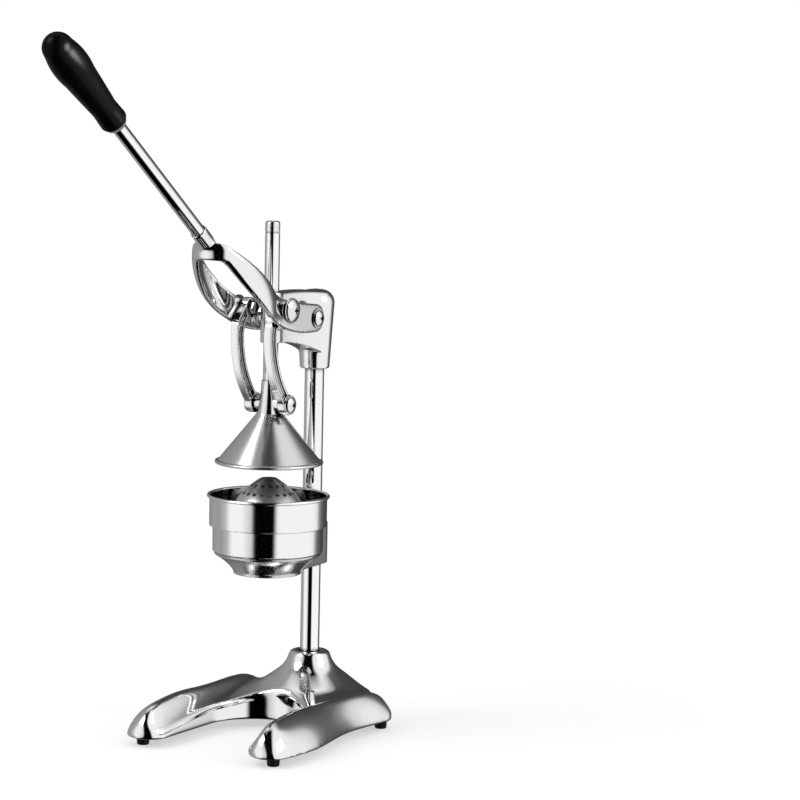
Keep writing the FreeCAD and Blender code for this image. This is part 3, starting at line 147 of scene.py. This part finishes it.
# Turned lines lie level: their noise is drawn out fifty times along X and Y.
LEVEL_LINES = (0.02, 0.02, 1.0)


def polished_metal(name, colour, smooth, dull, ripple_mm, ripple_depth_mm, closed=CASTING_CLOSED):
    """Polished metal: roughness wanders between smooth and dull where it is wiped and handled, and
    the skin carries a faint ripple as wide as the polishing wheel leaves it."""
    material, tree = start_material(name)
    place = object_place(tree)
    wiped = add_node(tree, "ShaderNodeTexNoise",
                     {"Vector": place, "Scale": 1 / (WIPED_PATCH_MM * MM), "Detail": 3.0,
                      "Roughness": 0.6})
    # Painted shade: the colour darkens in corners and holes that a nearby wall closes in.
    tone = paint_corner_shade(tree, colour, CASTING_REACH_MM, closed, CASTING_CLEAR)
    metal = add_node(tree, "ShaderNodeBsdfPrincipled",
                     {"Base Color": tone, "Metallic": 1.0,
                      "Roughness": uneven_gloss(tree, wiped, smooth, dull),
                      "Normal": uneven_skin(tree, place, ripple_mm, ripple_depth_mm, 1.0)})
    finish_material(tree, metal)
    return material


def turned_metal(name, colour, smooth, dull, groove_mm, streak):
    """Spun or turned sheet: fine lines of more and less gloss run round the upright axis, and streak
    says how far highlights draw out up and down the wall."""
    material, tree = start_material(name)
    drawn_out = add_node(tree, "ShaderNodeMapping",
                         {"Vector": object_place(tree), "Scale": LEVEL_LINES})
    lines = add_node(tree, "ShaderNodeTexNoise",
                     {"Vector": drawn_out.outputs["Vector"], "Scale": 1 / (groove_mm * MM),
                      "Detail": 2.0})
    around = add_node(tree, "ShaderNodeTangent", direction_type="RADIAL", axis="Z")
    # Painted shade: the colour darkens inside the sheet and in its holes, over a wider reach.
    tone = paint_corner_shade(tree, colour, SHEET_REACH_MM, SHEET_CLOSED, SHEET_CLEAR)
    metal = add_node(tree, "ShaderNodeBsdfPrincipled",
                     {"Base Color": tone, "Metallic": 1.0, "Anisotropic": streak,
                      "Roughness": uneven_gloss(tree, lines, smooth, dull),
                      "Tangent": around.outputs["Tangent"]})
    finish_material(tree, metal)
    return material


def moulded(name, colour, worn, smooth, dull, grain_mm, grain_depth_mm, shine=0.5):
    """Moulded rubber or plastic: a fine grain, and a slightly paler tone where it is rubbed."""
    material, tree = start_material(name)
    place = object_place(tree)
    rubbed = add_node(tree, "ShaderNodeTexNoise",
                      {"Vector": place, "Scale": 1 / (RUBBED_PATCH_MM * MM), "Detail": 4.0})
    tone = add_node(tree, "ShaderNodeMix",
                    {"Factor": rubbed.outputs["Fac"], "A": shade(colour), "B": shade(worn)},
                    data_type="RGBA")
    plastic = add_node(tree, "ShaderNodeBsdfPrincipled",
                       {"Base Color": tone.outputs["Result"], "IOR": 1.5,
                        "Specular IOR Level": shine,
                        "Roughness": uneven_gloss(tree, rubbed, smooth, dull),
                        "Normal": uneven_skin(tree, place, grain_mm, grain_depth_mm, 2.0)})
    finish_material(tree, plastic)
    return material


# Finishes

FINISHES = {
    # Chrome plate over a hand-polished zinc casting: bright, cool, slightly soft in its mirror.
    "polished_casting": polished_metal(
        "chromed_zinc_casting", "ECEDEE", smooth=0.05, dull=0.09, ripple_mm=30, ripple_depth_mm=0.015),
    # The funnel holder is chromed over a less polished casting, so its mirror is clouded.
    "satin_casting": polished_metal(
        "clouded_chrome_casting", "D2D3D5", smooth=0.14, dull=0.22, ripple_mm=14, ripple_depth_mm=0.05),
    # Column, ram and lever rod, drawn steel under hard chrome: the sharpest mirror on the press.
    "column_chrome": polished_metal(
        "hard_chromed_steel", "F4F5F6", smooth=0.02, dull=0.04, ripple_mm=60, ripple_depth_mm=0.001),
    # Bright plate on the screws, washers, collars and nuts, and on the ram's cap.
    "screw_steel": polished_metal(
        "bright_plated_screw", "E4E5E6", smooth=0.07, dull=0.14, ripple_mm=6, ripple_depth_mm=0.01),
    # Plain zinc plate on the plug in the column's lower end, and on its bolt and washer below the base.
    "plain_steel": polished_metal(
        "zinc_plated_steel", "A9ABAD", smooth=0.25, dull=0.4, ripple_mm=4, ripple_depth_mm=0.02),
    # Deep-drawn and buffed stainless cup, with a trace of the spinning lines left.
    "stainless_sheet": turned_metal(
        "buffed_stainless_cup", "F2F2F2", smooth=0.05, dull=0.08, groove_mm=0.6, streak=0.2),
    # Spun cone left satin: broad streaks from rim to neck.
    "satin_stainless": turned_metal(
        "spun_satin_stainless", "D8D9DA", smooth=0.21, dull=0.22, groove_mm=0.5, streak=0.4),
    # Moulded rubber feet, matt and almost black.
    "foot_rubber": moulded(
        "moulded_black_rubber", "050505", "0A0A0A", smooth=0.5, dull=0.62,
        grain_mm=0.6, grain_depth_mm=0.02, shine=0.15),
    # Injection-moulded black handle, glossy, with a soft broad highlight.
    "grip_plastic": moulded(
        "glossy_black_handle", "010101", "030303", smooth=0.28, dull=0.31,
        grain_mm=1.5, grain_depth_mm=0.0008, shine=0.07),
    # Grey collar between rod and handle.
    "ferrule_grey": moulded(
        "grey_nylon_ferrule", "6E7072", "7C7E80", smooth=0.35, dull=0.45,
        grain_mm=0.6, grain_depth_mm=0.01),
}

# The strainer is drawn from the same sheet as the cup, but only tumbled after its holes are punched.
TUMBLED = turned_metal(
    "tumbled_stainless_strainer", "F0F1F1", smooth=0.34, dull=0.36, groove_mm=0.6, streak=0.0)

# The links are chromed like the fork, with deeper painted shade in their grooves.
SHADED_GROOVE_LINKS = polished_metal(
    "chromed_links_shaded_grooves", "ECEDEE", smooth=0.05, dull=0.09, ripple_mm=30, ripple_depth_mm=0.015,
    closed=0.6)

for row in SUBPARTS:
    node = NODES[row["node"]]
    node.data.materials.clear()
    node.data.materials.append(FINISHES[row["material_slot"]])
NODES["strainer"].data.materials[0] = TUMBLED


# Castings and grip: the solids' sharp edges rounded as moulding and the polishing wheel leave them

def alone(piece):
    """Makes one piece the only selected and active object."""
    bpy.ops.object.select_all(action="DESELECT")
    piece.select_set(True)
    bpy.context.view_layer.objects.active = piece


def take_on(piece, node):
    """The piece stands for a node: it rides on the same body and takes the same finish."""
    slot = next(row["material_slot"] for row in SUBPARTS if row["node"] == node)
    body = next(name for name, held in BODIES.items() if node in held)
    piece.data.materials.clear()
    piece.data.materials.append(FINISHES[slot])
    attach(piece, body)
    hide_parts(node)


SAME_CORNER_MM = 0.01


def polished_copy(node, name, grain_mm, passes):
    """A node's solid remade in an even skin of the given grain and smoothed in so many passes, so
    each edge gets a small radius."""
    piece = bpy.data.objects.new(name, NODES[node].data.copy())
    bpy.context.collection.objects.link(piece)
    alone(piece)
    bpy.ops.object.mode_set(mode="EDIT")
    bpy.ops.mesh.select_all(action="SELECT")
    bpy.ops.mesh.remove_doubles(threshold=SAME_CORNER_MM * MM)
    bpy.ops.mesh.normals_make_consistent(inside=False)
    bpy.ops.object.mode_set(mode="OBJECT")
    skin = piece.modifiers.new("skin", "REMESH")
    skin.mode = "VOXEL"
    skin.voxel_size = grain_mm * MM
    rub = piece.modifiers.new("rub", "SMOOTH")
    rub.factor = 0.5
    rub.iterations = passes
    for modifier in (skin, rub):
        bpy.ops.object.modifier_apply(modifier=modifier.name)
    bpy.ops.object.shade_smooth()
    take_on(piece, node)
    return piece


def parabola(stations):
    """The curve through three stations, each a place along Y and a value there."""
    def value_at(place):
        return sum(value * prod((place - other) / (at - other)
                                for other, _ in stations if other != at)
                   for at, value in stations)
    return value_at


def eased(place, none, full):
    """Nought at one place, one at the other, and an S curve in between."""
    share = min(max((place - none) / (full - none), 0.0), 1.0)
    return share * share * (3 - 2 * share)


# The fork's arms along Y, with the lever up: where their width is measured, and where the arch
# starts and is full, first from the crown that joins the arms and then from the eyes
NEAR_CROWN, MID_ARM, NEAR_EYE = -0.092, -0.060, -0.028
STATION_MM = 1.5
CROWN_NONE, CROWN_FULL = -0.114, -0.096
EYE_NONE, EYE_FULL = -0.025, -0.046
# The share of the arch by which an arm's middle stands out, and the most that the square of the
# distance from the middle, in half widths, counts
MIDDLE_OUT, EDGE_CAP = 0.35, 1.1


def crown_arms(fork, arch_mm):
    """Arches both arms across their width: outside they are crowned, inside a little hollow."""
    points = fork.data.vertices
    middles = []
    halves = []
    for station in (NEAR_CROWN, MID_ARM, NEAR_EYE):
        heights = [point.co.z for point in points if abs(point.co.y - station) < STATION_MM * MM]
        middles.append((station, (max(heights) + min(heights)) / 2))
        halves.append((station, (max(heights) - min(heights)) / 2))
    middle = parabola(middles)
    half = parabola(halves)
    for point in points:
        along = point.co.y
        arched = eased(along, CROWN_NONE, CROWN_FULL) * eased(along, EYE_NONE, EYE_FULL)
        if arched > 0:
            edge = (point.co.z - middle(along)) / half(along)
            push = arch_mm * MM * arched * (MIDDLE_OUT - min(edge * edge, EDGE_CAP))
            point.co.x += push if point.co.x > 0 else -push
    fork.data.update()


# The two numbers are the grain in millimetres and the passes: more passes make rounder edges.
polished_copy("base_casting", "polished_base", 1.3, 60)
crown_arms(polished_copy("lever_fork", "polished_fork", 0.8, 64), 2.8)
polished_copy("head_casting", "polished_head", 0.9, 12)
for side in ("right", "left"):
    link = polished_copy(f"link_{side}", f"polished_link_{side}", 0.45, 2)
    # The links take the finish with deeper painted shade in their grooves.
    link.data.materials[0] = SHADED_GROOVE_LINKS
polished_copy("funnel_holder", "polished_holder", 0.9, 5)
grip = polished_copy("lever_grip", "moulded_grip", 0.8, 40)


# Studio: pale floor, soft light, and the bright walls and dark gap that chrome shows

# The camera stands this many degrees round from the front to the right, and faces the press.
CAMERA_TURN = 33.31
CAMERA_REACH = 2.9028
CAMERA_HEIGHT = 0.6805
CAMERA_HEADING, CAMERA_DIP, CAMERA_ROLL = 30.73, 6.565, 1.213
SENSOR_WIDTH_MM = 36
LENS_MM = 130.7
SIGHT_END = 50

FLOOR_RADIUS = 0.9
# Between these distances from the press, in metres, the paper goes over into the white round it.
PAPER_SHOWS, PAPER_ENDS = 0.2, 0.75

# Grey levels round the walls: 0.5 lies behind the camera, less than that to its left and more to
# its right, and 0 and 1 meet straight behind the press.
WALLS = [
    (0.0, 0.07), (0.02, 0.12), (0.05, 0.26), (0.13, 0.36), (0.19, 0.34), (0.24, 0.5),
    (0.28, 1.0), (0.76, 1.0), (0.79, 0.95), (0.815, 0.72), (0.835, 0.3), (0.855, 0.14),
    (0.90, 0.07), (0.96, 0.05), (1.0, 0.07)]
# How far ceiling or table takes over from the walls: 0 is straight down and 1 straight up.
CEILING_AND_TABLE = [(0.0, 1.0), (0.06, 1.0), (0.12, 0.0), (0.9, 0.0), (0.97, 1.0)]
# How black the cloth is, across the view: 0 is far left of the camera and 1 far right.
CLOTH = [
    (0.0, 0.0), (0.10, 0.0), (0.22, 0.35), (0.275, 0.96), (0.30, 1.0),
    (0.585, 1.0), (0.605, 0.85), (0.66, 0.1), (0.70, 0.0)]
# Where the cloth starts and is full, from -1 straight behind the press to 1 at the camera
CLOTH_NONE, CLOTH_FULL = -0.3, 0.0
# The even light that falls on all that isn't a mirror
ROOM_LIGHT = (0.9, 0.9, 0.9, 1)
WHITE = (1, 1, 1, 1)
BLACK = (0, 0, 0, 1)


def lay_floor():
    """A round sheet of pale paper that fades into white; the chrome's reflections see past it."""
    bpy.ops.mesh.primitive_circle_add(vertices=96, radius=FLOOR_RADIUS, fill_type="NGON")
    floor = bpy.context.object
    floor.name = "studio_floor"
    material, tree = start_material("pale_studio_floor")
    far = add_node(tree, "ShaderNodeVectorMath", {0: object_place(tree)}, operation="LENGTH")
    fade = add_node(tree, "ShaderNodeMapRange",
                    {"Value": far.outputs["Value"], "From Min": PAPER_SHOWS,
                     "From Max": PAPER_ENDS, "To Min": 0.5, "To Max": 1.0})
    seen = add_node(tree, "ShaderNodeLightPath")
    glow = add_node(tree, "ShaderNodeMath",
                    {0: fade.outputs["Result"], 1: seen.outputs["Is Camera Ray"]},
                    operation="MULTIPLY")
    paper = add_node(tree, "ShaderNodeBsdfDiffuse", {"Color": shade("F2F2F2")})
    white = add_node(tree, "ShaderNodeEmission", {"Color": WHITE, "Strength": 1.0})
    both = add_node(tree, "ShaderNodeMixShader",
                    {"Fac": glow.outputs["Value"], 1: paper.outputs["BSDF"],
                     2: white.outputs["Emission"]})
    clear = add_node(tree, "ShaderNodeBsdfTransparent")
    floor_skin = add_node(tree, "ShaderNodeMixShader",
                          {"Fac": seen.outputs["Is Glossy Ray"], 1: both.outputs["Shader"],
                           2: clear.outputs["BSDF"]})
    add_node(tree, "ShaderNodeOutputMaterial", {"Surface": floor_skin.outputs["Shader"]})
    floor.data.materials.append(material)


def as_share(tree, socket):
    """A value from minus one to one, as a share from nought to one."""
    share = add_node(tree, "ShaderNodeMapRange", {"Value": socket, "From Min": -1.0, "From Max": 1.0})
    return share.outputs["Result"]


def mirror_room(tree):
    """The room that the chrome shows, turned with the camera: walls of different greys, a bright
    ceiling, a dark table and a black cloth."""
    looking = add_node(tree, "ShaderNodeTexCoord").outputs["Generated"]
    turned = add_node(tree, "ShaderNodeVectorRotate",
                      {"Vector": looking, "Angle": radians(-CAMERA_TURN)}, rotation_type="Z_AXIS")
    parts = add_node(tree, "ShaderNodeSeparateXYZ", {"Vector": turned.outputs["Vector"]})
    front = add_node(tree, "ShaderNodeMath", {0: parts.outputs["Y"], 1: -1.0}, operation="MULTIPLY")
    turn = add_node(tree, "ShaderNodeMath", {0: parts.outputs["X"], 1: front.outputs["Value"]},
                    operation="ARCTAN2")
    round_it = add_node(tree, "ShaderNodeMapRange",
                        {"Value": turn.outputs["Value"], "From Min": -pi, "From Max": pi})
    walls = add_node(tree, "ShaderNodeValToRGB", {"Fac": round_it.outputs["Result"]})
    set_ramp(walls, WALLS)
    # Overhead the walls meet in a bright ceiling, and under the press the table is dark.
    blend = add_node(tree, "ShaderNodeValToRGB", {"Fac": as_share(tree, parts.outputs["Z"])})
    set_ramp(blend, CEILING_AND_TABLE)
    ends = add_node(tree, "ShaderNodeMath", {0: parts.outputs["Z"], 1: 0.0},
                    operation="GREATER_THAN")
    room = add_node(tree, "ShaderNodeMix",
                    {"Factor": blend.outputs["Color"], "A": walls.outputs["Color"],
                     "B": ends.outputs["Value"]}, data_type="RGBA")
    # The cloth hangs from overhead to the table, behind the camera and mostly to its left: it is
    # the dark stripe in the chrome.
    cloth = add_node(tree, "ShaderNodeValToRGB", {"Fac": as_share(tree, parts.outputs["X"])})
    set_ramp(cloth, CLOTH)
    hangs = add_node(tree, "ShaderNodeMapRange",
                     {"Value": front.outputs["Value"], "From Min": CLOTH_NONE,
                      "From Max": CLOTH_FULL})
    dark = add_node(tree, "ShaderNodeMath",
                    {0: cloth.outputs["Color"], 1: hangs.outputs["Result"]}, operation="MULTIPLY")
    draped = add_node(tree, "ShaderNodeMix",
                      {"Factor": dark.outputs["Value"], "A": room.outputs["Result"], "B": BLACK},
                      data_type="RGBA")
    return draped.outputs["Result"]


def light_world():
    """Reflections see the mirror room, the camera sees white, and all else gets an even light."""
    world = bpy.data.worlds.new("studio")
    bpy.context.scene.world = world
    world.use_nodes = True
    tree = world.node_tree
    tree.nodes.clear()
    path = add_node(tree, "ShaderNodeLightPath")
    mirrored = add_node(tree, "ShaderNodeMix",
                        {"Factor": path.outputs["Is Glossy Ray"], "A": ROOM_LIGHT,
                         "B": mirror_room(tree)}, data_type="RGBA")
    seen = add_node(tree, "ShaderNodeMix",
                    {"Factor": path.outputs["Is Camera Ray"], "A": mirrored.outputs["Result"],
                     "B": WHITE}, data_type="RGBA")
    glow = add_node(tree, "ShaderNodeBackground", {"Color": seen.outputs["Result"], "Strength": 1.0})
    add_node(tree, "ShaderNodeOutputWorld", {"Surface": glow.outputs["Background"]})


def hang_lamp(name, spot, aim, size, power):
    """A square lamp at a spot, turned to its aim, with its size in metres and its power in watts."""
    lamp = bpy.data.lights.new(name, "AREA")
    lamp.size = size
    lamp.energy = power
    holder = bpy.data.objects.new(name, lamp)
    bpy.context.collection.objects.link(holder)
    holder.location = spot
    holder.rotation_euler = (Vector(aim) - Vector(spot)).to_track_quat("-Z", "Y").to_euler()
    return holder


def place_camera():
    """The photograph's view: from the right of the front, looking slightly down."""
    data = bpy.data.cameras.new("camera")
    data.sensor_width = SENSOR_WIDTH_MM
    data.lens = LENS_MM
    data.clip_end = SIGHT_END
    camera = bpy.data.objects.new("camera", data)
    bpy.context.collection.objects.link(camera)
    round_to = radians(CAMERA_TURN)
    spot = Vector((sin(round_to) * CAMERA_REACH, -cos(round_to) * CAMERA_REACH, CAMERA_HEIGHT))
    turn = (Matrix.Rotation(radians(CAMERA_HEADING), 4, "Z")
            @ Matrix.Rotation(radians(90 - CAMERA_DIP), 4, "X")
            @ Matrix.Rotation(radians(CAMERA_ROLL), 4, "Z"))
    camera.matrix_world = Matrix.Translation(spot) @ turn
    bpy.context.scene.camera = camera


lay_floor()
light_world()
hang_lamp("key_softbox", (-1.2, -1.6, 2.2), (0, 0, 0.3), 1.4, 28)
hang_lamp("fill_softbox", (2.2, 0.4, 1.6), (0, 0, 0.3), 1.2, 10)
handle_light = hang_lamp("handle_softbox", (1.92, 0.2, 0.86), (0, -0.34, 0.68), 1.2, 180)
# The black handle needs more light than the chrome beside it, so this lamp is shaded from the rest.
handle_alone = bpy.data.collections.new("handle_alone")
handle_alone.objects.link(grip)
handle_light.light_linking.receiver_collection = handle_alone
place_camera()
bpy.context.scene.view_settings.view_transform = "Standard"
